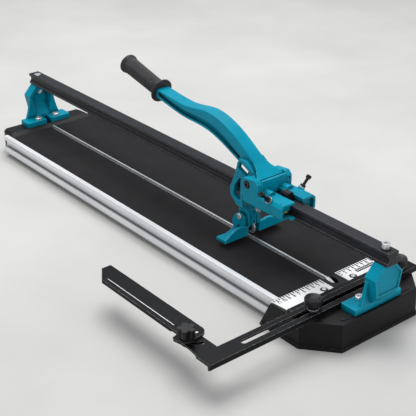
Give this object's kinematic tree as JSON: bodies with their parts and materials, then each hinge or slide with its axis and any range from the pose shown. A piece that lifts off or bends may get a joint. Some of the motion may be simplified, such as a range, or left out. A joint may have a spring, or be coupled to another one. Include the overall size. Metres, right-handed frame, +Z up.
{
  "type": "tile cutter",
  "caption": "Manual push tile cutter: railed carriage with a curved handle, scoring wheel and winged breaking foot over a padded base, with a sliding side fence.",
  "frame": {"origin": "on the floor, below the middle of the rail", "axes": "+Y along the rail away from the operator, +X to the operator's right, +Z up"},
  "size_m": [0.4263, 1, 0.2751],
  "materials": {
    "teal_paint": "semi-gloss paint on castings",
    "rail_paint": "satin dark coating",
    "bare_aluminium": "satin extruded",
    "shoe_black": "satin moulded",
    "pad_rubber": "matt",
    "grip_rubber": "matt, ribbed",
    "bright_steel": "zinc plated",
    "ruler_steel": "brushed",
    "black_steel": "black oxide",
    "fence_black": "satin black coating",
    "knob_black": "moulded",
    "plug_brass": "machined"
  },
  "bodies": {
    "base": {"base_extrusion": "bare_aluminium", "front_shoe": "shoe_black", "rear_shoe": "shoe_black", "shoe_screws": "bright_steel", "left_rubber_pad": "pad_rubber", "right_rubber_pad": "pad_rubber", "breaking_bar": "bright_steel", "left_floor_strip": "pad_rubber", "centre_floor_strip": "pad_rubber", "right_floor_strip": "pad_rubber", "left_ruler": "ruler_steel", "right_ruler": "ruler_steel", "ruler_screws": "bright_steel", "ruler_washers": "black_steel", "backstop_bar": "fence_black", "backstop_screws": "bright_steel", "front_bracket": "teal_paint", "rear_bracket": "teal_paint", "front_bracket_screws": "bright_steel", "rear_bracket_screws": "bright_steel", "rail": "rail_paint", "front_rail_bolt": "bright_steel", "front_rail_washer": "black_steel", "front_rail_nut": "bright_steel", "rear_rail_bolt": "bright_steel", "rear_rail_nut": "bright_steel", "clamp_studs": "bright_steel", "left_clamp_washer": "bright_steel", "right_clamp_washer": "bright_steel"},
    "carriage": {"carriage_body": "teal_paint", "roller_axles": "bright_steel", "adjusting_screws": "black_steel", "adjusting_washers": "bright_steel", "adjusting_nuts": "black_steel", "guide_plugs": "plug_brass", "rail_wiper": "knob_black", "pivot_bolt": "black_steel", "pivot_nut": "bright_steel"},
    "front_left_roller": {"front_left_roller": "plug_brass"},
    "front_right_roller": {"front_right_roller": "plug_brass"},
    "rear_left_roller": {"rear_left_roller": "plug_brass"},
    "rear_right_roller": {"rear_right_roller": "plug_brass"},
    "handle": {"handle_arm": "teal_paint", "handle_grip": "grip_rubber", "wheel_holder": "black_steel", "holder_screw": "bright_steel", "wheel_axle": "bright_steel", "foot_bolt": "bright_steel", "foot_nut": "bright_steel"},
    "wheel": {"scoring_wheel": "bright_steel"},
    "foot": {"breaking_foot": "teal_paint", "foot_pads": "pad_rubber"},
    "sliding_fence": {"fence_arm": "fence_black", "fence_rivet": "bright_steel"},
    "side_fence": {"side_fence": "fence_black", "fence_stud": "black_steel"},
    "fence_knob": {"fence_knob": "knob_black"},
    "left_clamp_knob": {"left_clamp_knob": "knob_black"},
    "right_clamp_knob": {"right_clamp_knob": "knob_black"}
  },
  "joints": [
    {"name": "carriage_slide", "type": "slide", "parent": "base", "child": "carriage", "axis": [0, 1, 0], "range_m": [-0.15, 0.585]},
    {"name": "handle_pivot", "type": "hinge", "parent": "carriage", "child": "handle", "pos_m": [0, -0.221, 0.1615], "axis": [1, 0, 0], "range_deg": [-7, 22]},
    {"name": "foot_pivot", "type": "hinge", "parent": "handle", "child": "foot", "pos_m": [0, -0.1835, 0.0835], "axis": [1, 0, 0], "range_deg": [-8, 15]},
    {"name": "wheel_spin", "type": "hinge", "parent": "handle", "child": "wheel", "pos_m": [0, -0.193, 0.062], "axis": [1, 0, 0], "continuous": true},
    {"name": "fence_slide", "type": "slide", "parent": "base", "child": "sliding_fence", "axis": [1, 0, 0], "range_m": [-0.014, 0.13]},
    {"name": "fence_pivot", "type": "hinge", "parent": "sliding_fence", "child": "side_fence", "pos_m": [-0.268, -0.38, 0.058], "axis": [0, 0, 1], "range_deg": [-15, 60]},
    {"name": "fence_knob_turn", "type": "hinge", "parent": "side_fence", "child": "fence_knob", "pos_m": [-0.28948, -0.38476, 0.07], "axis": [0, 0, 1], "range_deg": [0, 360]},
    {"name": "left_clamp_turn", "type": "hinge", "parent": "base", "child": "left_clamp_knob", "pos_m": [-0.093, -0.4355, 0.065], "axis": [0, 0, 1], "range_deg": [0, 360]},
    {"name": "right_clamp_turn", "type": "hinge", "parent": "base", "child": "right_clamp_knob", "pos_m": [0.093, -0.4355, 0.065], "axis": [0, 0, 1], "range_deg": [0, 360]},
    {"name": "front_left_roller_spin", "type": "hinge", "parent": "carriage", "child": "front_left_roller", "pos_m": [-0.016, -0.288, 0.1344], "axis": [0, 0, 1], "continuous": true},
    {"name": "front_right_roller_spin", "type": "hinge", "parent": "carriage", "child": "front_right_roller", "pos_m": [0.016, -0.288, 0.1344], "axis": [0, 0, 1], "continuous": true},
    {"name": "rear_left_roller_spin", "type": "hinge", "parent": "carriage", "child": "rear_left_roller", "pos_m": [-0.016, -0.227, 0.1344], "axis": [0, 0, 1], "continuous": true},
    {"name": "rear_right_roller_spin", "type": "hinge", "parent": "carriage", "child": "rear_right_roller", "pos_m": [0.016, -0.227, 0.1344], "axis": [0, 0, 1], "continuous": true}
  ],
  "couplings": [
    {"joint": "front_left_roller_spin", "follows": "carriage_slide", "rad_per_m": -121.95},
    {"joint": "front_right_roller_spin", "follows": "carriage_slide", "rad_per_m": 121.95},
    {"joint": "rear_left_roller_spin", "follows": "carriage_slide", "rad_per_m": -121.95},
    {"joint": "rear_right_roller_spin", "follows": "carriage_slide", "rad_per_m": 121.95}
  ]
}
